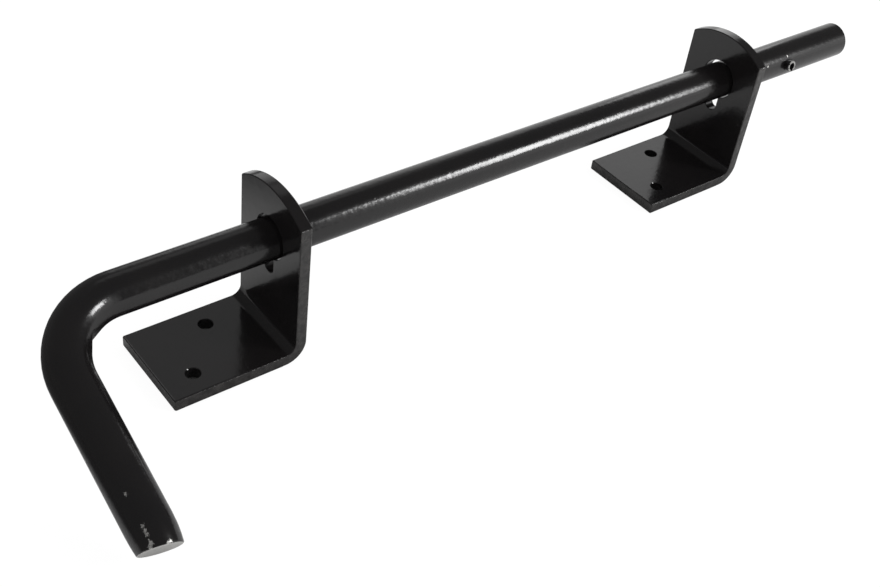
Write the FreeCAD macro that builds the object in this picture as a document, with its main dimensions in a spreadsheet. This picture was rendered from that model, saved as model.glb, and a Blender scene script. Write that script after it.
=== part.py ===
import FreeCAD, Part
import math
import os
from types import SimpleNamespace

import Sketcher

# Ground bolt for a gate. A round bar, bent at its top into a handle, slides in two folded
# brackets. A spring pin through the bar stops against the lower bracket when the bolt is
# lifted. The brackets' feet lie on the gate, which is the plane z = 0, and the bar runs
# along x with its ground end at +x. The origin is midway between the upper bracket's
# screw holes.

doc = FreeCAD.newDocument("ground_bolt")

# Driving dimensions, in millimetres and degrees
sheet = doc.addObject("Spreadsheet::Sheet", "dims")
driving = [
    ("rod_diameter", 20.0, "round bar"),
    ("rod_length", 520.0, "ground end to the outside of the handle"),
    ("handle_length", 117.8, "end of the handle to the outside of the rod"),
    ("bend_radius", 32.0, "centre line of the bend"),
    ("handle_drop", 21.6, "slope of the handle towards the gate"),
    ("handle_x", -72.0, "handle's axis from the upper screw holes"),
    ("crease_angle", 46.0, "part of the bend that the crease takes up"),
    ("squeeze_length", 11.0, "start of the squeezed part to the cropped end"),
    ("squeeze_diameter", 16.6, "squeezed part, just past the cropped end"),
    ("squeeze_shift", 0.5, "squeezed part off the handle's axis, at the same place"),
    ("squeeze_angle", 70.0, "side that was squeezed most, round the handle"),
    ("crop_slant", 7.8, "slant of the cropped end towards the gate"),
    ("crop_skew", 10.4, "slant of the cropped end towards the hand side"),
    ("crop_round", 0.8, "rounded rim of the cropped end"),
    ("tip_chamfer", 1.2, "edge of the ground end"),
    ("bar_width", 50.0, "flat bar of the brackets, width"),
    ("bar_thickness", 6.0, "flat bar of the brackets, thickness"),
    ("fold_radius", 5.0, "inside of the fold"),
    ("mill_edge", 0.8, "rounded long edges of the flat bar"),
    ("shear_edge", 0.4, "broken edges of the bar's two ends"),
    ("foot_length", 68.0, "end of the foot to the upright's outer face"),
    ("shoulder_height", 76.0, "ends of the arched top above the gate"),
    ("crown_rise", 8.0, "middle of the arched top above its ends"),
    ("hole_diameter", 22.0, "loose hole for the rod"),
    ("hole_height", 56.9, "centre of that hole above the gate"),
    ("keyway_width", 7.5, "notch under that hole"),
    ("keyway_reach", 19.9, "bottom of the notch below the hole's centre"),
    ("hole_edge", 0.3, "broken edges of the holes"),
    ("rod_sag", 0.7, "rod's axis below the hole's centre, where it lies"),
    ("screw_diameter", 7.0, "screw holes in the foot"),
    ("screw_along", 21.0, "screw hole to screw hole, along the foot"),
    ("screw_across", 26.0, "screw hole to screw hole, across the foot"),
    ("screw_setback", 42.0, "middle of the screw holes to the upright's outer face"),
    ("bracket_pitch", 297.0, "upper bracket to lower bracket"),
    ("pin_diameter", 7.0, "spring pin"),
    ("pin_wall", 1.4, "sheet that the spring pin is rolled from"),
    ("pin_slot", 1.6, "gap along the spring pin"),
    ("pin_length", 22.5, "spring pin, end to end"),
    ("pin_proud", 3.0, "length of the spring pin outside the rod"),
    ("pin_rise", 10.0, "slope of the spring pin away from the gate"),
    ("pin_from_tip", 55.0, "spring pin's axis to the rod's ground end"),
    ("pin_chamfer", 0.5, "ends of the spring pin"),
]
for row, (name, value, note) in enumerate(driving, start=1):
    sheet.set("A%d" % row, name)
    sheet.set("B%d" % row, str(value))
    sheet.set("C%d" % row, note)
    sheet.setAlias("B%d" % row, name)
doc.recompute()
dim = SimpleNamespace(**{name: value for name, value, note in driving})

# Cutting outlines run this far past the metal that they cut
CLEAR = 4.0

# Expressions that several features share
ROD_RADIUS = "dims.rod_diameter / 2"
ROD_REACH = "dims.rod_length - dims.rod_diameter / 2"
HANDLE_REACH = "dims.handle_length - dims.rod_diameter / 2"
ROD_HEIGHT = "dims.hole_height - dims.rod_sag"
CROWN_TOP = "dims.shoulder_height + dims.crown_rise"
CROWN_RADIUS = "((dims.bar_width / 2) ^ 2 + dims.crown_rise ^ 2) / (2 * dims.crown_rise)"
PAST = " + %g" % CLEAR

# Points of a line or an arc, and a sketch's origin and axes
START = 1
END = 2
CENTRE = 3
ORIGIN = (-1, 1)
ACROSS_AXIS = -1
UP_AXIS = -2

X_DIRECTION = FreeCAD.Vector(1, 0, 0)
Y_DIRECTION = FreeCAD.Vector(0, 1, 0)
Z_DIRECTION = FreeCAD.Vector(0, 0, 1)


# Sketches
def point(x, y):
    return FreeCAD.Vector(x, y, 0)


def polar(centre, radius, degrees):
    angle = math.radians(degrees)
    return centre + point(radius * math.cos(angle), radius * math.sin(angle))


def circle(centre, radius):
    return Part.Circle(centre, Z_DIRECTION, radius)


def arc(centre, radius, first, last):
    """An arc, anticlockwise between two directions in degrees."""
    return Part.ArcOfCircle(circle(centre, radius), math.radians(first), math.radians(last))


def make_sketch(body, name, plane, offset=None, axis=None, turn=None):
    """A sketch on one of the body's origin planes. The expression offset moves it along
    its normal. The expression turn swings it about axis."""
    sketch = body.newObject("Sketcher::SketchObject", name)
    support = [f for f in body.Origin.OriginFeatures if f.Role == plane][0]
    sketch.AttachmentSupport = [(support, "")]
    sketch.MapMode = "FlatFace"
    if axis is not None:
        start = FreeCAD.Placement(point(0, 0), FreeCAD.Rotation(axis, 1.0))
        sketch.AttachmentOffset = start
        sketch.setExpression("AttachmentOffset.Rotation.Angle", turn)
    if offset is not None:
        sketch.setExpression("AttachmentOffset.Base.z", offset)
    return sketch


def rule(sketch, kind, *where):
    """A constraint without a number."""
    sketch.addConstraint(Sketcher.Constraint(kind, *where))


def measure(sketch, expression, kind, *where):
    """A constraint whose number is an expression of the sheet's dimensions."""
    value = float(sketch.evalExpression(expression))
    if kind == "Angle":
        value = math.radians(value)
    index = sketch.addConstraint(Sketcher.Constraint(kind, *where, value))
    sketch.setExpression("Constraints[%d]" % index, expression)


def draw_lines(sketch, points, closed=True):
    """Straight lines from point to point, joined at their ends."""
    ends = points[1:] + points[:1] if closed else points[1:]
    lines = [sketch.addGeometry(Part.LineSegment(a, b), False) for a, b in zip(points, ends)]
    for one, following in zip(lines, lines[1:]):
        rule(sketch, "Coincident", one, END, following, START)
    if closed:
        rule(sketch, "Coincident", lines[-1], END, lines[0], START)
    return lines


# Features
def make_body(name):
    body = doc.addObject("PartDesign::Body", name)
    body.Label = name
    return body


def cut_through(body, name, sketch):
    """A pocket to both sides of its sketch, right through. It has to remove metal."""
    before = body.Shape.Volume
    pocket = body.newObject("PartDesign::Pocket", name)
    pocket.Profile = sketch
    pocket.SideType = "Symmetric"
    pocket.Type = "ThroughAll"
    doc.recompute()
    if before - body.Shape.Volume < 1.0:
        raise RuntimeError(name + " cuts nothing")


def dress_edges(body, kind, name, size_name, expression, choose):
    """A fillet or chamfer on the edges that choose accepts, by their ends and middle."""
    base = body.Tip
    names = []
    for number, edge in enumerate(base.Shape.Edges, start=1):
        middle = edge.valueAt((edge.FirstParameter + edge.LastParameter) / 2)
        if choose([vertex.Point for vertex in edge.Vertexes] + [middle]):
            names.append("Edge%d" % number)
    dressed = body.newObject("PartDesign::" + kind, name)
    dressed.Base = (base, names)
    dressed.setExpression(size_name, expression)
    doc.recompute()


def near(a, b):
    return abs(a - b) < 0.001


# Bolt rod: one round bar. In its own frame the rod's axis is +x, the handle's axis is -y,
# and they cross at the origin.
def bend_bar(body):
    reach = dim.rod_length - dim.rod_diameter / 2
    bend = dim.bend_radius
    handle_end = -(dim.handle_length - dim.rod_diameter / 2 - dim.squeeze_length)

    path = make_sketch(body, "bar_path", "XY_Plane")
    straight, = draw_lines(path, [point(reach, 0), point(bend, 0)], closed=False)
    elbow = path.addGeometry(arc(point(bend, -bend), bend, 90, 180), False)
    grip, = draw_lines(path, [point(0, -bend), point(0, handle_end)], closed=False)
    rule(path, "Tangent", straight, END, elbow, START)
    rule(path, "Tangent", elbow, END, grip, START)
    rule(path, "Horizontal", straight)
    rule(path, "Vertical", grip)
    rule(path, "PointOnObject", straight, START, ACROSS_AXIS)
    rule(path, "PointOnObject", grip, END, UP_AXIS)
    measure(path, "dims.bend_radius", "Radius", elbow)
    measure(path, ROD_REACH, "DistanceX", *ORIGIN, straight, START)
    measure(path, HANDLE_REACH + " - dims.squeeze_length", "DistanceY", grip, END, *ORIGIN)

    section = make_sketch(body, "bar_section", "YZ_Plane", offset=ROD_REACH)
    ring = section.addGeometry(circle(point(0, 0), dim.rod_diameter / 2), False)
    rule(section, "Coincident", ring, CENTRE, *ORIGIN)
    measure(section, ROD_RADIUS, "Radius", ring)

    bar = body.newObject("PartDesign::AdditivePipe", "bent_bar")
    bar.Profile = section
    bar.Spine = (path, ["Edge1", "Edge2", "Edge3"])
    doc.recompute()


def crease_bend(body):
    """The inside of the bend was squeezed into a crease: two flats that leave the bend's
    curve and meet in a sharp line."""
    centre = point(dim.bend_radius, -dim.bend_radius)
    inner = dim.bend_radius - dim.rod_diameter / 2
    half = dim.crease_angle / 2
    first = polar(centre, inner, 135 - half)
    sharp = polar(centre, inner / math.cos(math.radians(half)), 135)
    last = polar(centre, inner, 135 + half)

    sketch = make_sketch(body, "crease_outline", "XY_Plane")
    flat, other_flat, last_spoke, first_spoke = draw_lines(sketch, [first, sharp, last, centre])
    inside = sketch.addGeometry(circle(centre, inner), True)
    rule(sketch, "Coincident", inside, CENTRE, first_spoke, START)
    rule(sketch, "PointOnObject", first_spoke, END, inside)
    rule(sketch, "PointOnObject", last_spoke, START, inside)
    rule(sketch, "Perpendicular", first_spoke, flat)
    rule(sketch, "Perpendicular", last_spoke, other_flat)
    measure(sketch, "dims.bend_radius", "DistanceX", *ORIGIN, inside, CENTRE)
    measure(sketch, "dims.bend_radius", "DistanceY", inside, CENTRE, *ORIGIN)
    measure(sketch, "dims.bend_radius - " + ROD_RADIUS, "Radius", inside)
    measure(sketch, "135 - dims.crease_angle / 2", "Angle", first_spoke)
    measure(sketch, "dims.crease_angle / 2 - 45", "Angle", last_spoke)
    cut_through(body, "crease", sketch)


def squeeze_handle(body):
    """Over its last part the handle narrows, most of all on the side where the shear
    squeezed it. It is lofted through three round sections."""
    radius = dim.rod_diameter / 2
    squeezed = dim.squeeze_diameter / 2
    start = HANDLE_REACH + " - dims.squeeze_length"
    length = "(dims.squeeze_length%s)" % PAST
    shrink = "(dims.rod_diameter - dims.squeeze_diameter) / 2"

    sections = []
    for name, along, share in (("start", 0, 0), ("middle", 0.5, 0.25), ("end", 1, 1)):
        offset = "%s + %s * %g" % (start, length, along)
        sketch = make_sketch(body, "squeeze_" + name, "XZ_Plane", offset=offset)
        size = radius - (radius - squeezed) * share
        centre = polar(point(0, 0), -dim.squeeze_shift * share, dim.squeeze_angle)
        ring = sketch.addGeometry(circle(centre, size), False)
        measure(sketch, "%s - %s * %g" % (ROD_RADIUS, shrink, share), "Radius", ring)
        if share == 0:
            rule(sketch, "Coincident", ring, CENTRE, *ORIGIN)
        else:
            shift = "dims.squeeze_shift * %g" % share
            measure(sketch, shift + " * cos(dims.squeeze_angle)", "DistanceX", ring, CENTRE, *ORIGIN)
            measure(sketch, shift + " * sin(dims.squeeze_angle)", "DistanceY", ring, CENTRE, *ORIGIN)
        sections.append(sketch)

    narrow = body.newObject("PartDesign::AdditiveLoft", "squeezed_part")
    narrow.Profile = sections[0]
    narrow.Sections = sections[1:]
    doc.recompute()


def crop_handle(body):
    """The handle's end was cropped in a shear, on a slant in both directions."""
    reach = dim.handle_length - dim.rod_diameter / 2
    skew = math.radians(dim.crop_skew)
    slope = math.tan(math.radians(dim.crop_slant))
    away = reach * math.cos(skew)
    beside = dim.rod_diameter / 2 + CLEAR
    lean = beside * slope

    slant = make_sketch(body, "crop_outline", "YZ_Plane", axis=Y_DIRECTION,
                        turn="-dims.crop_skew")
    corners = [
        point(-away + lean, -beside),
        point(-away - lean, beside),
        point(-away - 3 * CLEAR, beside),
        point(-away - 3 * CLEAR, -beside),
    ]
    edge, top, far, bottom = draw_lines(slant, corners)
    middle = slant.addGeometry(Part.Point(point(-away, 0)), True)
    rule(slant, "Horizontal", top)
    rule(slant, "Vertical", far)
    rule(slant, "Horizontal", bottom)
    rule(slant, "PointOnObject", middle, START, ACROSS_AXIS)
    rule(slant, "PointOnObject", middle, START, edge)
    along = "(%s) * cos(dims.crop_skew)" % HANDLE_REACH
    measure(slant, along, "DistanceX", middle, START, *ORIGIN)
    measure(slant, "90 + dims.crop_slant", "Angle", edge)
    measure(slant, ROD_RADIUS + PAST, "DistanceY", edge, START, *ORIGIN)
    measure(slant, ROD_RADIUS + PAST, "DistanceY", *ORIGIN, edge, END)
    measure(slant, along + PAST + PAST + PAST, "DistanceX", far, START, *ORIGIN)
    cut_through(body, "crop", slant)

    def is_rim(places):
        lengths = [(p.y + reach) * math.cos(skew) + p.x * math.sin(skew) for p in places]
        return all(near(length, -slope * p.z) for length, p in zip(lengths, places))

    dress_edges(body, "Fillet", "crop_rim", "Radius", "dims.crop_round", is_rim)


def finish_rod(body):
    reach = dim.rod_length - dim.rod_diameter / 2
    dress_edges(body, "Chamfer", "tip_edge", "Size", "dims.tip_chamfer",
                lambda places: all(near(p.x, reach) for p in places))

    hole = make_sketch(body, "pin_hole_outline", "XZ_Plane", axis=X_DIRECTION,
                       turn="-dims.handle_drop - dims.pin_rise")
    ring = hole.addGeometry(circle(point(reach - dim.pin_from_tip, 0), dim.pin_diameter / 2), False)
    rule(hole, "PointOnObject", ring, CENTRE, ACROSS_AXIS)
    measure(hole, ROD_REACH + " - dims.pin_from_tip", "DistanceX", *ORIGIN, ring, CENTRE)
    measure(hole, "dims.pin_diameter / 2", "Radius", ring)
    cut_through(body, "pin_hole", hole)


def make_rod():
    body = make_body("bolt_rod")
    bend_bar(body)
    crease_bend(body)
    squeeze_handle(body)
    crop_handle(body)
    finish_rod(body)
    body.Placement = FreeCAD.Placement(point(0, 0), FreeCAD.Rotation(X_DIRECTION, 1.0))
    body.setExpression("Placement.Rotation.Angle", "dims.handle_drop")
    body.setExpression("Placement.Base.x", "dims.handle_x")
    body.setExpression("Placement.Base.z", ROD_HEIGHT)
    return body


# Brackets: one length of flat bar each, folded. In its own frame a bracket stands on z = 0,
# its upright's outer face is x = 0, and its foot runs towards -x.
def fold_bar(body):
    inner = dim.fold_radius
    outer = inner + dim.bar_thickness
    thick = dim.bar_thickness
    top = dim.shoulder_height + dim.crown_rise + CLEAR
    end = -dim.foot_length
    centre = point(-outer, outer)

    sketch = make_sketch(body, "fold_profile", "XZ_Plane")
    bottom, = draw_lines(sketch, [point(end, 0), point(-outer, 0)], closed=False)
    outside = sketch.addGeometry(arc(centre, outer, 270, 360), False)
    uprights = [point(0, outer), point(0, top), point(-thick, top), point(-thick, outer)]
    front, top_edge, back = draw_lines(sketch, uprights, closed=False)
    inside = sketch.addGeometry(arc(centre, inner, 270, 360), False)
    foot = [point(-outer, thick), point(end, thick), point(end, 0)]
    upper, foot_end = draw_lines(sketch, foot, closed=False)
    rule(sketch, "Coincident", foot_end, END, bottom, START)
    rule(sketch, "Tangent", bottom, END, outside, START)
    rule(sketch, "Tangent", outside, END, front, START)
    rule(sketch, "Tangent", back, END, inside, END)
    rule(sketch, "Tangent", inside, START, upper, START)
    rule(sketch, "Coincident", inside, CENTRE, outside, CENTRE)
    for line in (bottom, top_edge, upper):
        rule(sketch, "Horizontal", line)
    for line in (front, back, foot_end):
        rule(sketch, "Vertical", line)
    rule(sketch, "PointOnObject", bottom, START, ACROSS_AXIS)
    rule(sketch, "PointOnObject", front, START, UP_AXIS)
    measure(sketch, "dims.fold_radius", "Radius", inside)
    measure(sketch, "dims.bar_thickness", "DistanceX", top_edge, END, top_edge, START)
    measure(sketch, "dims.foot_length", "DistanceX", bottom, START, *ORIGIN)
    measure(sketch, CROWN_TOP + PAST, "DistanceY", *ORIGIN, front, END)

    bar = body.newObject("PartDesign::Pad", "folded_bar")
    bar.Profile = sketch
    bar.SideType = "Symmetric"
    bar.setExpression("Length", "dims.bar_width")
    doc.recompute()

    def is_long_edge(places):
        on_side = all(near(abs(p.y), dim.bar_width / 2) for p in places)
        at_end = all(near(p.x, end) for p in places) or all(near(p.z, top) for p in places)
        return on_side and not at_end

    dress_edges(body, "Fillet", "mill_edges", "Radius", "dims.mill_edge", is_long_edge)


def arch_top(body):
    half = dim.bar_width / 2
    radius = (half ** 2 + dim.crown_rise ** 2) / (2 * dim.crown_rise)
    beside = half + CLEAR
    centre = point(0, dim.shoulder_height + dim.crown_rise - radius)
    side = math.degrees(math.acos(beside / radius))
    above = dim.shoulder_height + dim.crown_rise + 2 * CLEAR

    sketch = make_sketch(body, "crown_outline", "YZ_Plane")
    crown = sketch.addGeometry(arc(centre, radius, side, 180 - side), False)
    corners = [
        polar(centre, radius, 180 - side),
        point(-beside, above),
        point(beside, above),
        polar(centre, radius, side),
    ]
    left, top, right = draw_lines(sketch, corners, closed=False)
    rule(sketch, "Coincident", crown, END, left, START)
    rule(sketch, "Coincident", crown, START, right, END)
    rule(sketch, "Vertical", left)
    rule(sketch, "Horizontal", top)
    rule(sketch, "Vertical", right)
    rule(sketch, "PointOnObject", crown, CENTRE, UP_AXIS)
    measure(sketch, CROWN_RADIUS, "Radius", crown)
    measure(sketch, CROWN_TOP + " - " + CROWN_RADIUS, "DistanceY", *ORIGIN, crown, CENTRE)
    measure(sketch, "dims.bar_width / 2" + PAST, "DistanceX", *ORIGIN, right, END)
    measure(sketch, "dims.bar_width / 2" + PAST, "DistanceX", left, START, *ORIGIN)
    measure(sketch, CROWN_TOP + PAST + PAST, "DistanceY", *ORIGIN, top, START)
    cut_through(body, "crown", sketch)

    def is_sheared(places):
        at_foot_end = all(near(p.x, -dim.foot_length) for p in places)
        on_crown = all(near(math.hypot(p.y, p.z - centre.y), radius) for p in places)
        return at_foot_end or on_crown

    dress_edges(body, "Chamfer", "shear_edges", "Size", "dims.shear_edge", is_sheared)


def punch_keyhole(body):
    """The rod's hole, with the notch that lets the stop pin through."""
    radius = dim.hole_diameter / 2
    half = dim.keyway_width / 2
    hole = point(0, dim.hole_height)
    bottom = point(0, dim.hole_height - dim.keyway_reach + half)
    corner = math.degrees(math.asin(half / radius))

    sketch = make_sketch(body, "keyhole_outline", "YZ_Plane")
    around = sketch.addGeometry(arc(hole, radius, corner - 90, 270 - corner), False)
    under = sketch.addGeometry(arc(bottom, half, 180, 360), False)
    down = [polar(hole, radius, 270 - corner), polar(bottom, half, 180)]
    left, = draw_lines(sketch, down, closed=False)
    up = [polar(bottom, half, 0), polar(hole, radius, corner - 90)]
    right, = draw_lines(sketch, up, closed=False)
    rule(sketch, "Coincident", around, END, left, START)
    rule(sketch, "Tangent", left, END, under, START)
    rule(sketch, "Tangent", under, END, right, START)
    rule(sketch, "Coincident", right, END, around, START)
    rule(sketch, "Vertical", left)
    rule(sketch, "Vertical", right)
    rule(sketch, "PointOnObject", around, CENTRE, UP_AXIS)
    rule(sketch, "PointOnObject", under, CENTRE, UP_AXIS)
    measure(sketch, "dims.hole_height", "DistanceY", *ORIGIN, around, CENTRE)
    measure(sketch, "dims.hole_diameter / 2", "Radius", around)
    measure(sketch, "dims.keyway_width / 2", "Radius", under)
    measure(sketch, "dims.keyway_reach - dims.keyway_width / 2", "DistanceY",
            under, CENTRE, around, CENTRE)
    cut_through(body, "keyhole", sketch)


def drill_foot(body):
    """Two screw holes, staggered across the foot."""
    sketch = make_sketch(body, "screw_outline", "XY_Plane")
    near_fold = point(-dim.screw_setback + dim.screw_along / 2, dim.screw_across / 2)
    near_end = point(-dim.screw_setback - dim.screw_along / 2, -dim.screw_across / 2)
    first = sketch.addGeometry(circle(near_fold, dim.screw_diameter / 2), False)
    second = sketch.addGeometry(circle(near_end, dim.screw_diameter / 2), False)
    rule(sketch, "Equal", first, second)
    measure(sketch, "dims.screw_diameter / 2", "Radius", first)
    measure(sketch, "dims.screw_setback - dims.screw_along / 2", "DistanceX",
            first, CENTRE, *ORIGIN)
    measure(sketch, "dims.screw_across / 2", "DistanceY", *ORIGIN, first, CENTRE)
    measure(sketch, "dims.screw_setback + dims.screw_along / 2", "DistanceX",
            second, CENTRE, *ORIGIN)
    measure(sketch, "dims.screw_across / 2", "DistanceY", second, CENTRE, *ORIGIN)
    cut_through(body, "screw_holes", sketch)


def break_edges(body):
    """The rims of the rod's hole and of the screw holes, on both faces of the bar."""
    thick = dim.bar_thickness
    lowest = dim.hole_height - dim.keyway_reach
    highest = dim.hole_height + dim.hole_diameter / 2

    def is_rim(places):
        on_upright = all(near(p.x, 0) or near(p.x, -thick) for p in places)
        on_foot = all(near(p.z, 0) or near(p.z, thick) for p in places)
        inside = all(abs(p.y) < dim.hole_diameter * 0.75 for p in places)
        beside_fold = all(p.x < -dim.fold_radius - thick - 1 for p in places)
        in_hole = all(lowest - 0.01 < p.z < highest + 0.01 for p in places)
        off_end = all(p.x > -dim.foot_length + 1 for p in places)
        in_foot = on_foot and beside_fold and off_end
        return inside and (in_foot or (on_upright and in_hole))

    dress_edges(body, "Chamfer", "hole_edges", "Size", "dims.hole_edge", is_rim)


def make_bracket(name, along):
    body = make_body(name)
    fold_bar(body)
    arch_top(body)
    punch_keyhole(body)
    drill_foot(body)
    break_edges(body)
    body.setExpression("Placement.Base.x", along)
    return body


# Stop pin: a rolled spring pin that crosses the rod. In its own frame it lies along y, the
# rod's axis is x, and its slot faces the gate.
def make_pin():
    body = make_body("stop_pin")
    outer = dim.pin_diameter / 2
    inner = outer - dim.pin_wall
    half = dim.pin_slot / 2
    outer_turn = math.degrees(math.asin(half / outer))
    inner_turn = math.degrees(math.asin(half / inner))
    middle = point(0, 0)

    sketch = make_sketch(body, "pin_profile", "XZ_Plane",
                         offset=ROD_RADIUS + " + dims.pin_proud - dims.pin_length")
    outside = sketch.addGeometry(arc(middle, outer, outer_turn - 90, 270 - outer_turn), False)
    inside = sketch.addGeometry(arc(middle, inner, inner_turn - 90, 270 - inner_turn), False)
    lip = [polar(middle, outer, 270 - outer_turn), polar(middle, inner, 270 - inner_turn)]
    left, = draw_lines(sketch, lip, closed=False)
    lip = [polar(middle, inner, inner_turn - 90), polar(middle, outer, outer_turn - 90)]
    right, = draw_lines(sketch, lip, closed=False)
    rule(sketch, "Coincident", outside, END, left, START)
    rule(sketch, "Coincident", left, END, inside, END)
    rule(sketch, "Coincident", inside, START, right, START)
    rule(sketch, "Coincident", right, END, outside, START)
    rule(sketch, "Coincident", outside, CENTRE, *ORIGIN)
    rule(sketch, "Coincident", inside, CENTRE, *ORIGIN)
    rule(sketch, "Vertical", left)
    rule(sketch, "Vertical", right)
    measure(sketch, "dims.pin_diameter / 2", "Radius", outside)
    measure(sketch, "dims.pin_diameter / 2 - dims.pin_wall", "Radius", inside)
    measure(sketch, "dims.pin_slot / 2", "DistanceX", left, START, *ORIGIN)
    measure(sketch, "dims.pin_slot / 2", "DistanceX", *ORIGIN, right, START)

    tube = body.newObject("PartDesign::Pad", "rolled_tube")
    tube.Profile = sketch
    tube.setExpression("Length", "dims.pin_length")
    doc.recompute()

    proud_end = -(dim.rod_diameter / 2 + dim.pin_proud)
    other_end = proud_end + dim.pin_length

    def is_outer_rim(places):
        at_end = all(near(p.y, proud_end) for p in places) or all(near(p.y, other_end) for p in places)
        return at_end and all(near(math.hypot(p.x, p.z), outer) for p in places)

    dress_edges(body, "Chamfer", "pin_ends", "Size", "dims.pin_chamfer", is_outer_rim)
    body.Placement = FreeCAD.Placement(point(0, 0), FreeCAD.Rotation(-X_DIRECTION, 1.0))
    body.setExpression("Placement.Rotation.Angle", "dims.pin_rise")
    body.setExpression("Placement.Base.x", "dims.handle_x + " + ROD_REACH + " - dims.pin_from_tip")
    body.setExpression("Placement.Base.z", ROD_HEIGHT)
    return body


# The four pieces
pieces = [
    make_rod(),
    make_bracket("upper_bracket", "dims.screw_setback"),
    make_bracket("lower_bracket", "dims.screw_setback + dims.bracket_pitch"),
    make_pin(),
]
doc.recompute()

# Checks and export
for thing in doc.Objects:
    if "Invalid" in thing.State or "Error" in thing.State:
        raise RuntimeError(thing.Label + " did not rebuild")
    if thing.TypeId == "Sketcher::SketchObject" and not thing.FullyConstrained:
        raise RuntimeError(thing.Label + " is not fully constrained")
os.makedirs("parts", exist_ok=True)
for piece in pieces:
    shape = piece.Shape
    if shape.isNull() or not shape.isValid() or len(shape.Solids) != 1:
        raise RuntimeError(piece.Label + " is not one valid solid")
    shape.exportStep(os.path.join("parts", piece.Label + ".step"))
    box = shape.BoundBox
    size = "%.1f x %.1f x %.1f mm" % (box.XLength, box.YLength, box.ZLength)
    print("%-14s %s, %.1f cm3" % (piece.Label, size, shape.Volume / 1000))
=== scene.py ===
# %% [markdown]
# # Ground bolt in gloss black paint
# A ground bolt holds a gate leaf shut. A round bar, bent into a handle, slides in two folded
# brackets, and a spring pin stops it. The metal comes from the CAD model and is never
# changed here. This lesson gives it its paint, its worn places, a floor, lamps and a camera.

# %% Load the frame
import math

import bpy
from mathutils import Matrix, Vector


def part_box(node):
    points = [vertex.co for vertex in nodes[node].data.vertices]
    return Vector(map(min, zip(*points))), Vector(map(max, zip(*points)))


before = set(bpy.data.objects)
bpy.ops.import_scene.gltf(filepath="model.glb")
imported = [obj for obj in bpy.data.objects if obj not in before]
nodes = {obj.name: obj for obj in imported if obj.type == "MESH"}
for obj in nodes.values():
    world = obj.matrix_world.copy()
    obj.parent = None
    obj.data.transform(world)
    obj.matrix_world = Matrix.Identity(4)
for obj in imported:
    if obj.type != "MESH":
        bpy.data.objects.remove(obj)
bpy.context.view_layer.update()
print("nodes:", ", ".join(sorted(nodes)))

# %% [markdown]
# ## Helpers for node materials
# A material is a tree of nodes. Each node could be made and joined by hand, in four or five
# lines. These helpers do that in one line, so that the cells below show only the idea.
# Wherever a helper takes a value, it takes a plain number or the output of another node.

# %% Node helpers
MM = 0.001


def feed(tree, value, socket):
    """Give a socket a plain value, or join another node's output to it."""
    if isinstance(value, bpy.types.NodeSocket):
        tree.links.new(value, socket)
    else:
        socket.default_value = value


def add(tree, kind, place, **inputs):
    """Add a node at a place in the editor and fill its inputs by name."""
    made = tree.nodes.new(kind)
    made.location = place
    for name, value in inputs.items():
        feed(tree, value, made.inputs[name.replace("_", " ")])
    return made


def math_node(tree, operation, first, second=None, clamp=False):
    """Work out one sum of numbers, and return its result."""
    made = tree.nodes.new("ShaderNodeMath")
    made.operation = operation
    made.use_clamp = clamp
    feed(tree, first, made.inputs[0])
    if second is not None:
        feed(tree, second, made.inputs[1])
    return made.outputs[0]


def close_to(tree, value, middle, reach):
    """1 where the value lies within the reach of the middle, and 0 elsewhere."""
    made = tree.nodes.new("ShaderNodeMath")
    made.operation = "COMPARE"
    for socket, setting in zip(made.inputs, (value, middle, reach)):
        feed(tree, setting, socket)
    return made.outputs[0]


def vector_node(tree, operation, first, second):
    """Work out one sum of vectors, and return its result."""
    made = tree.nodes.new("ShaderNodeVectorMath")
    made.operation = operation
    feed(tree, first, made.inputs[0])
    feed(tree, second, made.inputs["Scale" if operation == "SCALE" else 1])
    return made.outputs["Value" if operation in ("DOT_PRODUCT", "DISTANCE") else "Vector"]


print("helpers: feed, add, math_node, close_to, vector_node")

# %% [markdown]
# ## Ramps and groups
# A ramp turns a distance or a noise into a mask between two numbers. A node group is a part
# of a material that is built once and placed in many. Its sockets have names and usual
# values, so each material can change only what differs on its piece.

# %% Ramp and group helpers
def ramp(tree, value, start, end, low=0.0, high=1.0, smooth=False):
    """The low number up to the start, the high one past the end, and a slope between."""
    made = tree.nodes.new("ShaderNodeMapRange")
    made.interpolation_type = "SMOOTHSTEP" if smooth else "LINEAR"
    settings = {"Value": value, "From Min": start, "From Max": end, "To Min": low, "To Max": high}
    for name, setting in settings.items():
        feed(tree, setting, made.inputs[name])
    return made.outputs["Result"]


def make_group(name, inputs, outputs):
    """Make a node group, and return it with the inner ends of its inputs and outputs."""
    group = bpy.data.node_groups.new(name, "ShaderNodeTree")
    for label, usual in inputs.items():
        kind = "NodeSocketVector" if isinstance(usual, tuple) else "NodeSocketFloat"
        socket = group.interface.new_socket(label, in_out="INPUT", socket_type=kind)
        socket.default_value = usual
    for label in outputs:
        group.interface.new_socket(label, in_out="OUTPUT", socket_type="NodeSocketFloat")
    inside = add(group, "NodeGroupInput", (-1200, 200))
    outside = add(group, "NodeGroupOutput", (700, 0))
    return group, inside.outputs, outside.inputs


def place_group(tree, group, place, **inputs):
    """Place a group in a material with this material's own values, and return its outputs."""
    made = tree.nodes.new("ShaderNodeGroup")
    made.node_tree = group
    made.location = place
    for name, value in inputs.items():
        feed(tree, value, made.inputs[name.replace("_", " ")])
    return made.outputs


print("helpers: ramp, make_group, place_group")

# %% [markdown]
# ## Sprayed enamel
# The paint is a thick gloss enamel. It flows before it dries, so its skin has a faint
# waviness, called orange peel, a fine grain and small nibs of dust, and it is a little
# duller and browner where it lies thin. A picture of paint could give that, but it would
# stretch round the bar. Noise in the piece's own space doesn't, and every painted piece
# can share it as one group. Heights are in millimetres, as each bump's distance is 1 mm.

# %% Enamel skin group
GRAIN_SCALE = 1300.0
GRAIN_SHARE = 0.20
NIB_SCALE = 160.0
NIB_SIZE = 0.10
CLOUD_SCALE = 28.0
ROUGHNESS_DRIFT = 0.12


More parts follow.
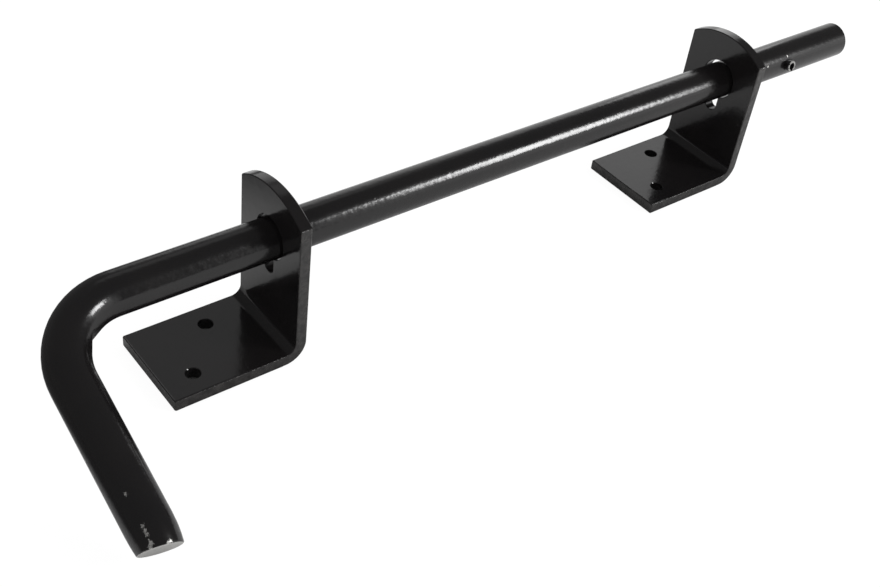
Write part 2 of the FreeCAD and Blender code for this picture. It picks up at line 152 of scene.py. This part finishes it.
def build_enamel_group():
    group, inside, outside = make_group(
        "enamel_skin",
        {"Peel Depth": 0.02, "Peel Scale": 350.0, "Nib Depth": 0.05, "Paint Roughness": 0.14},
        ("Height", "Roughness", "Thin"))
    place = add(group, "ShaderNodeTexCoord", (-900, 300)).outputs["Object"]

    peel = add(group, "ShaderNodeTexNoise", (-600, 200),
               Vector=place, Scale=inside["Peel Scale"], Detail=1.0)
    grain = add(group, "ShaderNodeTexNoise", (-600, 450),
                Vector=place, Scale=GRAIN_SCALE, Detail=1.0)
    fine = math_node(group, "MULTIPLY", grain.outputs["Fac"], GRAIN_SHARE)
    waves = math_node(group, "ADD", peel.outputs["Fac"], fine)
    waves = math_node(group, "MULTIPLY", waves, inside["Peel Depth"])

    cells = add(group, "ShaderNodeTexVoronoi", (-600, -100), Vector=place, Scale=NIB_SCALE)
    nibs = ramp(group, cells.outputs["Distance"], 0.0, NIB_SIZE, 1.0, 0.0)
    nibs = math_node(group, "MULTIPLY", nibs, inside["Nib Depth"])
    feed(group, math_node(group, "ADD", waves, nibs), outside["Height"])

    cloud = add(group, "ShaderNodeTexNoise", (-600, -400),
                Vector=place, Scale=CLOUD_SCALE, Detail=4.0)
    drift = math_node(group, "SUBTRACT", cloud.outputs["Fac"], 0.5)
    drift = math_node(group, "MULTIPLY", drift, ROUGHNESS_DRIFT)
    rough = math_node(group, "ADD", inside["Paint Roughness"], drift, clamp=True)
    feed(group, rough, outside["Roughness"])
    feed(group, cloud.outputs["Fac"], outside["Thin"])
    return group


enamel = build_enamel_group()
print("group", enamel.name, "has", len(enamel.nodes), "nodes")

# %% [markdown]
# ## Chips in the paint, and painted glints
# Knocks have broken the paint near the handle's end, down to bare steel. The same bare
# steel spots also stand in for light. The two beside the pin are painted highlights where
# glints show on the rod. The two at the handle's rim are partly a chip and partly a painted
# rim glint. Noise alone would scatter chips anywhere, so each spot lies at a place that
# was measured on the bar. Noise only shifts the place that is looked up, which gives the
# round spot a ragged outline. The places are object coordinates, so the spots ride along.

# %% Paint chips and painted glints group
# Each row is a spot's middle and its radius, in millimetres.
CHIPS_AND_GLINTS = [
    ((-76.9, -81.7, 33.2), 0.72),
    ((-76.8, -94.9, 27.9), 0.90),
    ((-76.6, -96.5, 27.2), 0.81),
    ((-76.7, -98.2, 26.3), 0.81),
    ((-76.8, -100.0, 25.4), 0.54),
    ((-76.8, -101.4, 24.6), 1.08),
    ((-77.6, -102.0, 23.5), 0.90),
    # These two spots at the handle's rim are partly a chip and partly a painted highlight of the
    # rim.
    ((-70.0, -104.0, 24.2), 0.90),
    ((-71.2, -104.1, 24.0), 0.81),
    # These two bare steel spots beside the pin are painted highlights, put where glints show on
    # the rod.
    ((382.9, -7.6, 62.6), 0.72),
    ((365.2, -8.8, 60.9), 0.63),
]
# These shape every spot alike: the chips and the painted glints.
SPOT_RAGGED = 2.6 * MM
SPOT_NOISE_SCALE = 1700.0
SPOT_CORE = 0.5
SPOT_HEIGHT = -0.08


def build_chips_and_glints_group():
    group, inside, outside = make_group(
        "paint_chips_and_glints", {"Ragged": SPOT_RAGGED}, ("Chip And Glint", "Height"))
    place = add(group, "ShaderNodeTexCoord", (-1200, 0)).outputs["Object"]
    noise = add(group, "ShaderNodeTexNoise", (-1200, -300),
                Vector=place, Scale=SPOT_NOISE_SCALE, Detail=3.0)
    shift = vector_node(group, "SUBTRACT", noise.outputs["Color"], (0.5, 0.5, 0.5))
    shift = vector_node(group, "SCALE", shift, inside["Ragged"])
    looked_up = vector_node(group, "ADD", place, shift)

    chip_and_glint = 0.0
    for middle, radius in CHIPS_AND_GLINTS:
        away = vector_node(group, "DISTANCE", looked_up, Vector(middle) * MM)
        spot = ramp(group, away, radius * MM, radius * SPOT_CORE * MM)
        chip_and_glint = math_node(group, "MAXIMUM", spot, chip_and_glint)
    feed(group, chip_and_glint, outside["Chip And Glint"])
    feed(group, math_node(group, "MULTIPLY", chip_and_glint, SPOT_HEIGHT), outside["Height"])
    return group


chips_and_glints = build_chips_and_glints_group()
print("group", chips_and_glints.name, "places", len(CHIPS_AND_GLINTS), "chips_and_glints")

# %% [markdown]
# ## Bare ends
# The handle was cropped in a shear, and its end face took little paint. The spring pin was
# knocked in with a hammer, which bared its rim. A second material on those faces would end
# in a hard line. Here the mask is the distance past a plane that lies in the face, and
# noise moves that line, so that some paint is left at the rim.

# %% Bare end group
RIM_NOISE_SCALE = 700.0


def build_end_group():
    group, inside, outside = make_group(
        "bare_end",
        {"Facing": (0.0, 0.0, 0.0), "Reach": 0.0, "Depth": 0.25 * MM, "Ragged": 0.25 * MM},
        ("Bare",))
    place = add(group, "ShaderNodeTexCoord", (-900, 0)).outputs["Object"]
    along = vector_node(group, "DOT_PRODUCT", place, inside["Facing"])
    past = math_node(group, "SUBTRACT", along, inside["Reach"])
    noise = add(group, "ShaderNodeTexNoise", (-600, -250),
                Vector=place, Scale=RIM_NOISE_SCALE, Detail=3.0)
    ragged = math_node(group, "SUBTRACT", noise.outputs["Fac"], 0.5)
    ragged = math_node(group, "MULTIPLY", ragged, inside["Ragged"])
    past = math_node(group, "ADD", past, ragged)
    below = math_node(group, "MULTIPLY", inside["Depth"], -1.0)
    feed(group, ramp(group, past, below, 0.0), outside["Bare"])
    return group


bare_end = build_end_group()
print("group", bare_end.name, "has", len(bare_end.nodes), "nodes")

# %% [markdown]
# ## Rolled and sheared edges
# The brackets are flat bar from a hot rolling mill. Its narrow sides are rough, and so is
# the sheared end of the foot. The paint follows those dents, which breaks the light there,
# and on their peaks it is thin, so that the grey scale of the steel shows through. The
# dents are too small to model. The group finds the sides and the end from the place on
# the piece, and gives the dents as a height and the peaks as a mask.

# %% Rough edges group
EDGE_START = 0.1 * MM
EDGE_END = 0.7 * MM
DENT_SCALE = 330.0
PEAK_START = 0.30
PEAK_END = 0.70


def build_edges_group():
    group, inside, outside = make_group(
        "rough_edges", {"Foot End": 0.0, "Half Width": 0.0}, ("Edge", "Scale", "Height"))
    place = add(group, "ShaderNodeTexCoord", (-900, 0)).outputs["Object"]
    split = add(group, "ShaderNodeSeparateXYZ", (-700, 0), Vector=place)

    across = math_node(group, "ABSOLUTE", split.outputs["Y"])
    to_side = math_node(group, "SUBTRACT", inside["Half Width"], across)
    to_end = math_node(group, "SUBTRACT", split.outputs["X"], inside["Foot End"])
    nearest = math_node(group, "MINIMUM", to_side, to_end)
    edge = ramp(group, nearest, EDGE_END, EDGE_START, smooth=True)
    feed(group, edge, outside["Edge"])

    dents = add(group, "ShaderNodeTexNoise", (-400, -300),
                Vector=place, Scale=DENT_SCALE, Detail=5.0).outputs["Fac"]
    peaks = ramp(group, dents, PEAK_START, PEAK_END)
    feed(group, math_node(group, "MULTIPLY", peaks, edge), outside["Scale"])
    feed(group, math_node(group, "MULTIPLY", dents, edge), outside["Height"])
    return group


rough_edges = build_edges_group()
print("group", rough_edges.name, "has", len(rough_edges.nodes), "nodes")

# %% [markdown]
# ## From enamel to a material
# Each piece needs a material of its own, because the enamel lies differently on round bar,
# on flat bar and on a small pin. The black is very dark, so what is seen is mostly the
# room in its gloss. A piece could have one shader for its paint and one for its steel, but
# a single shader is simpler: masks change the colour, roughness and bump that it is fed.

# %% Shared steps of the materials
PAINT_BLACK = (0.0045, 0.0045, 0.0050, 1.0)
PAINT_THIN = (0.0092, 0.0078, 0.0078, 1.0)


def new_material(name):
    material = bpy.data.materials.new(name)
    material.use_nodes = True
    return material, material.node_tree


# The Mix node has sockets of the same names for each kind of value. These are its colours.
MIX_COLOUR_INPUTS = (6, 7)
MIX_COLOUR_OUTPUT = 2


def blend_colours(tree, mask, first, second, place):
    """The first colour where the mask is 0, and the second where it is 1."""
    mixed = add(tree, "ShaderNodeMix", place, Factor=mask)
    mixed.data_type = "RGBA"
    for index, colour in zip(MIX_COLOUR_INPUTS, (first, second)):
        feed(tree, colour, mixed.inputs[index])
    return mixed.outputs[MIX_COLOUR_OUTPUT]


def lay_enamel(tree, roughness, peel_depth, peel_scale):
    """Place the enamel with a piece's own values, and return its outputs and its colour."""
    skin = place_group(tree, enamel, (-900, 0),
                       Paint_Roughness=roughness, Peel_Depth=peel_depth, Peel_Scale=peel_scale)
    colour = blend_colours(tree, skin["Thin"], PAINT_BLACK, PAINT_THIN, (-600, 300))
    return skin, colour


def finish_surface(tree, colour, roughness, height):
    """Feed the shader its colour, its roughness and a bump from the height in millimetres."""
    shader = tree.nodes["Principled BSDF"]
    bump = add(tree, "ShaderNodeBump", (-250, -300), Strength=1.0, Distance=MM, Height=height)
    feed(tree, colour, shader.inputs["Base Color"])
    feed(tree, roughness, shader.inputs["Roughness"])
    feed(tree, bump.outputs["Normal"], shader.inputs["Normal"])


print("steps: new_material, blend_colours, lay_enamel, finish_surface")

# %% [markdown]
# ## Bare steel on the rod and the pin
# Where a mask says bare, the paint turns to steel: a bright metal, a little rougher than
# the paint round it. The chips, with the painted glint spots among them, and the end face
# could turn it one after the other, but the higher of the two masks does both at once.
# Each end face is found from a point on it and the way that it faces. The pin's rim is
# only worn, so its mask is made weaker.

# %% Rod and pin materials
STEEL = (0.66, 0.65, 0.63, 1.0)
STEEL_EXTRA_ROUGHNESS = 0.2
HANDLE_END_FACING = (-0.18, -0.86, -0.48)
HANDLE_END = (-72.46, -99.90, 16.10)
PIN_END_FACING = (0.0, -0.985, 0.174)
PIN_END = (383.0, -12.8, 58.5)
PIN_WEAR = 0.55


def place_end(tree, facing, point, depth, ragged):
    """Mask an end face, from a point on it in millimetres and the way it faces."""
    facing = Vector(facing).normalized()
    return place_group(tree, bare_end, (-900, -600), Facing=facing,
                       Reach=facing.dot(Vector(point) * MM), Depth=depth, Ragged=ragged)["Bare"]


def show_steel(tree, bare, colour, roughness):
    """Make the surface metal as far as the mask says, and return its colour and roughness."""
    feed(tree, bare, tree.nodes["Principled BSDF"].inputs["Metallic"])
    extra = math_node(tree, "MULTIPLY", bare, STEEL_EXTRA_ROUGHNESS)
    rough = math_node(tree, "ADD", extra, roughness, clamp=True)
    return blend_colours(tree, bare, colour, STEEL, (-250, 300)), rough


def paint_rod():
    material, tree = new_material("rod_enamel")
    skin, colour = lay_enamel(tree, roughness=0.19, peel_depth=0.085, peel_scale=330.0)
    # The chips mask also holds the painted glint spots at the rim and beside the pin.
    chip_and_glint = place_group(tree, chips_and_glints, (-900, -400))
    end = place_end(tree, HANDLE_END_FACING, HANDLE_END, depth=0.25 * MM, ragged=0.3 * MM)
    bare = math_node(tree, "MAXIMUM", chip_and_glint["Chip And Glint"], end)
    colour, rough = show_steel(tree, bare, colour, skin["Roughness"])
    height = math_node(tree, "ADD", skin["Height"], chip_and_glint["Height"])
    finish_surface(tree, colour, rough, height)
    return material


def paint_pin():
    material, tree = new_material("pin_enamel")
    skin, colour = lay_enamel(tree, roughness=0.15, peel_depth=0.03, peel_scale=400.0)
    end = place_end(tree, PIN_END_FACING, PIN_END, depth=0.3 * MM, ragged=2.0 * MM)
    bare = math_node(tree, "MULTIPLY", end, PIN_WEAR)
    colour, rough = show_steel(tree, bare, colour, skin["Roughness"])
    finish_surface(tree, colour, rough, skin["Height"])
    return material


finishes = {"bolt_rod": paint_rod(), "stop_pin": paint_pin()}
print("made", ", ".join(material.name for material in finishes.values()))

# %% [markdown]
# ## Brackets
# The brackets are two pressings of the same kind, in the same enamel as the rod, a little
# smoother, and with rough edges. Where each foot ends and how wide it is comes from the
# frame. Those numbers could be typed in, but this way one function paints both brackets,
# and it still fits if the model changes.

# %% Bracket materials
MILL_SCALE = (0.030, 0.028, 0.027, 1.0)
DENT_DEPTH = 0.6
EDGE_EXTRA_ROUGHNESS = 0.12


def paint_bracket(node):
    low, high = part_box(node)
    material, tree = new_material(node + "_enamel")
    skin, colour = lay_enamel(tree, roughness=0.14, peel_depth=0.05, peel_scale=260.0)
    edges = place_group(tree, rough_edges, (-900, -400), Foot_End=low.x, Half_Width=high.y)
    colour = blend_colours(tree, edges["Scale"], colour, MILL_SCALE, (-250, 300))
    extra = math_node(tree, "MULTIPLY", edges["Edge"], EDGE_EXTRA_ROUGHNESS)
    rough = math_node(tree, "ADD", extra, skin["Roughness"], clamp=True)
    dents = math_node(tree, "MULTIPLY", edges["Height"], DENT_DEPTH)
    finish_surface(tree, colour, rough, math_node(tree, "ADD", skin["Height"], dents))
    return material


BRACKETS = ("upper_bracket", "lower_bracket")
for bracket in BRACKETS:
    finishes[bracket] = paint_bracket(bracket)
for name, material in finishes.items():
    for slot in nodes[name].material_slots:
        slot.material = material
    print(name, "wears", material.name)

# %% [markdown]
# ## What the floor shows to whom
# The bolt lies on a white floor. A floor that was lit until it turned white would throw too
# much light back at the metal. This one is lit at a plain level, and glows only towards
# rays that look straight at it. The camera sees it white in the open, and dark under the
# two feet: a painted shadow, which keeps their screw holes dark. In gloss black paint it
# shows darker close to the metal, a painted shade where the metal keeps the light away. Gloss
# also shows a black cloth on the
# floor behind the bend, as a studio may have one, which keeps the bend's outer side dark.
# It is no mesh, only a part of the floor without glow, and the camera doesn't see it.

# %% Glow of the floor
CAMERA_GLOW = 0.93
GLOSS_GLOW = 0.75
NEAR_METAL = 0.19
NEAR_METAL_POWER = 3.0
TO_CLOTH = (-0.8, 0.6, 0.0)
CLOTH_START = 0.035
CLOTH_END = 0.11
BAR_THICKNESS = 6.0 * MM
FOLD_RADIUS = 5.0 * MM
# The dark areas stay inside the flat of each foot by these margins.
END_MARGIN = 0.75 * MM
SIDE_MARGIN = 0.5 * MM
FOLD_MARGIN = 1.25 * MM


def under_foot(tree, place, bracket):
    """1 under the flat part of a bracket's foot, and 0 elsewhere."""
    low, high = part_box(bracket)
    start = low.x + END_MARGIN
    end = high.x - BAR_THICKNESS - FOLD_RADIUS - FOLD_MARGIN
    half_width = high.y - SIDE_MARGIN
    along = close_to(tree, place["X"], (start + end) / 2, (end - start) / 2)
    across = close_to(tree, place["Y"], 0.0, half_width)
    return math_node(tree, "MULTIPLY", along, across)


def glow_to_camera(tree):
    """Full glow in the open, and none under the two feet."""
    place = add(tree, "ShaderNodeNewGeometry", (-1700, -100)).outputs["Position"]
    split = add(tree, "ShaderNodeSeparateXYZ", (-1500, -100), Vector=place).outputs
    feet = [under_foot(tree, split, bracket) for bracket in BRACKETS]
    # Painted shadow: no glow under the feet, so their screw holes look dark.
    in_open = math_node(tree, "SUBTRACT", 1.0, math_node(tree, "ADD", *feet))
    return math_node(tree, "MULTIPLY", in_open, CAMERA_GLOW)


def glow_to_gloss(tree):
    """Glow that fades near the metal and on the cloth."""
    hidden = add(tree, "ShaderNodeAmbientOcclusion", (-900, -350), Distance=NEAR_METAL)
    hidden.samples = 4
    glow = math_node(tree, "POWER", hidden.outputs["AO"], NEAR_METAL_POWER)
    glow = math_node(tree, "MULTIPLY", glow, GLOSS_GLOW)
    place = add(tree, "ShaderNodeNewGeometry", (-1500, -500)).outputs["Position"]
    along = vector_node(tree, "DOT_PRODUCT", place, TO_CLOTH)
    clear = ramp(tree, along, CLOTH_START, CLOTH_END, 1.0, 0.0, smooth=True)
    return math_node(tree, "MULTIPLY", glow, clear)


print("the floor glows", CAMERA_GLOW, "to the camera and", GLOSS_GLOW, "to gloss")

# %% [markdown]
# ## Floor
# The floor is one large square just under the feet. It mixes two looks: plain paper for
# the light that bounces off it, and the glow above for rays that look straight at it. The
# little light that the second look still takes from the lamps carries the bolt's shadow.

# %% Floor
FLOOR_SIZE = 8.0
FLOOR_MIDDLE = (0.18, 0.0, -0.2 * MM)
PAPER = (0.8, 0.8, 0.8, 1.0)
SEEN_PAPER = (0.11, 0.11, 0.11, 1.0)


def looks_straight(tree, path):
    """1 for rays from the camera, off gloss or through glass, and 0 for bounced light."""
    seen = math_node(tree, "ADD", path["Is Camera Ray"], path["Is Glossy Ray"])
    return math_node(tree, "ADD", seen, path["Is Transmission Ray"], clamp=True)


def mix_shaders(tree, place, mask, first, second):
    """The first shader where the mask is 0, and the second where it is 1."""
    made = tree.nodes.new("ShaderNodeMixShader")
    made.location = place
    for socket, value in zip(made.inputs, (mask, first.outputs[0], second.outputs[0])):
        feed(tree, value, socket)
    return made


def make_floor_material():
    material, tree = new_material("white_floor")
    tree.nodes.clear()
    path = add(tree, "ShaderNodeLightPath", (-900, 300)).outputs
    level = add(tree, "ShaderNodeMix", (-500, -200), Factor=path["Is Glossy Ray"],
                A=glow_to_camera(tree), B=glow_to_gloss(tree))
    glow = add(tree, "ShaderNodeEmission", (-300, -200), Strength=level.outputs["Result"])
    seen_paper = add(tree, "ShaderNodeBsdfDiffuse", (-300, -50), Color=SEEN_PAPER)
    seen = tree.nodes.new("ShaderNodeAddShader")
    feed(tree, seen_paper.outputs[0], seen.inputs[0])
    feed(tree, glow.outputs[0], seen.inputs[1])
    paper = add(tree, "ShaderNodeBsdfDiffuse", (-300, 100), Color=PAPER)
    look = mix_shaders(tree, (600, 0), looks_straight(tree, path), paper, seen)
    add(tree, "ShaderNodeOutputMaterial", (900, 0), Surface=look.outputs[0])
    return material


def make_floor():
    half = FLOOR_SIZE / 2
    corners = [(-half, -half, 0), (half, -half, 0), (half, half, 0), (-half, half, 0)]
    mesh = bpy.data.meshes.new("floor")
    mesh.from_pydata(corners, [], [(0, 1, 2, 3)])
    mesh.materials.append(make_floor_material())
    floor = bpy.data.objects.new("floor", mesh)
    floor.location = FLOOR_MIDDLE
    bpy.context.collection.objects.link(floor)
    return floor


floor = make_floor()
print("made", floor.name, FLOOR_SIZE, "m square")

# %% [markdown]
# ## Room
# Gloss black shows mostly what is round it. Walls could be modelled, but a direction is
# enough for things that are far away, so the room is part of the world. It is dark, with
# three bright patches beyond the rod's ground end: a wall on the handle's side, a wall on
# the other side and a dimmer patch higher up. The walls draw the light bands along the
# bar, and the patch lights the tops of the feet. To the camera the room is plain white.

# %% Room
ROOM_DARK = 0.17
ROOM_FILL = 0.8
# Each row is the way to the patch, the cosines where it starts and is full, and its strength.
BRIGHT_PATCHES = [
    ((0.68, -0.71, 0.15), 0.92, 0.975, 1.25),
    ((0.66, 0.74, 0.10), 0.88, 0.96, 0.9),
    ((0.38, 0.62, 0.69), 0.975, 0.992, 0.4),
]


def room_in_gloss(tree):
    """The strength of the room in each direction, as gloss shows it."""
    place = add(tree, "ShaderNodeTexCoord", (-900, 0)).outputs["Generated"]
    level = ROOM_DARK
    for direction, start, full, strength in BRIGHT_PATCHES:
        facing = vector_node(tree, "DOT_PRODUCT", place, Vector(direction).normalized())
        patch = ramp(tree, facing, start, full, high=strength, smooth=True)
        level = math_node(tree, "ADD", patch, level)
    return level


def make_room():
    world = bpy.data.worlds.new("studio")
    bpy.context.scene.world = world
    world.use_nodes = True
    tree = world.node_tree
    tree.nodes.clear()
    path = add(tree, "ShaderNodeLightPath", (300, 500)).outputs
    mirrored = add(tree, "ShaderNodeBackground", (300, 200), Strength=room_in_gloss(tree))
    seen = add(tree, "ShaderNodeBackground", (300, 50), Color=(1, 1, 1, 1), Strength=1.0)
    fill = add(tree, "ShaderNodeBackground", (300, -100), Color=(1, 1, 1, 1),
               Strength=ROOM_FILL)
    straight = mix_shaders(tree, (600, 100), path["Is Glossy Ray"], seen, mirrored)
    look = mix_shaders(tree, (900, 0), looks_straight(tree, path), fill, straight)
    add(tree, "ShaderNodeOutputWorld", (1200, 0), Surface=look.outputs[0])


make_room()
print("room with", len(BRIGHT_PATCHES), "bright patches")

# %% [markdown]
# ## Lamps
# One lamp far off to the right draws the fine line along the rod and the spots on the bend
# and the handle's end. A patch of the room could do that too, but a lamp also casts the
# bolt's shadow. A small white card behind the lower bracket lights its foot and crown. It
# is a lamp as well, and the camera doesn't see it. The room does the rest.

# %% Lamps
def make_lamp(name, location, target, size, watts):
    data = bpy.data.lights.new(name, "AREA")
    data.shape = "RECTANGLE"
    data.size, data.size_y = size
    data.energy = watts
    lamp = bpy.data.objects.new(name, data)
    lamp.location = location
    lamp.rotation_euler = (Vector(target) - lamp.location).to_track_quat("-Z", "Y").to_euler()
    bpy.context.collection.objects.link(lamp)
    return lamp


key_lamp = make_lamp("key_lamp", location=(1.63, -1.52, 1.20), target=(0.0, -0.02, 0.05),
                     size=(0.54, 0.66), watts=27.0)
white_card = make_lamp("white_card", location=(0.462, 0.130, 0.145), target=(0.30, 0.01, 0.03),
                       size=(0.12, 0.09), watts=0.036)
white_card.visible_camera = False
print("lamps:", key_lamp.name, white_card.name)

# %% [markdown]
# ## Camera
# The camera stands where the photograph was taken: above the handle, looking along the
# rod to its ground end. Its place and lens were worked out from the outlines of the bar,
# the feet and the holes, so that the render can be laid over the photograph.

# %% Camera
CAMERA_PLACE = (-0.20653, -0.37941, 0.41113)
CAMERA_TURN = (49.655, -6.304, -37.395)
CAMERA_LENS = 51.80

camera_data = bpy.data.cameras.new("camera")
camera_data.sensor_width = 36.0
camera_data.lens = CAMERA_LENS
camera = bpy.data.objects.new("camera", camera_data)
camera.location = CAMERA_PLACE
camera.rotation_euler = [math.radians(angle) for angle in CAMERA_TURN]
bpy.context.collection.objects.link(camera)
bpy.context.scene.camera = camera
bpy.context.scene.view_settings.view_transform = "Standard"
print("camera at", tuple(round(v, 3) for v in camera.location))
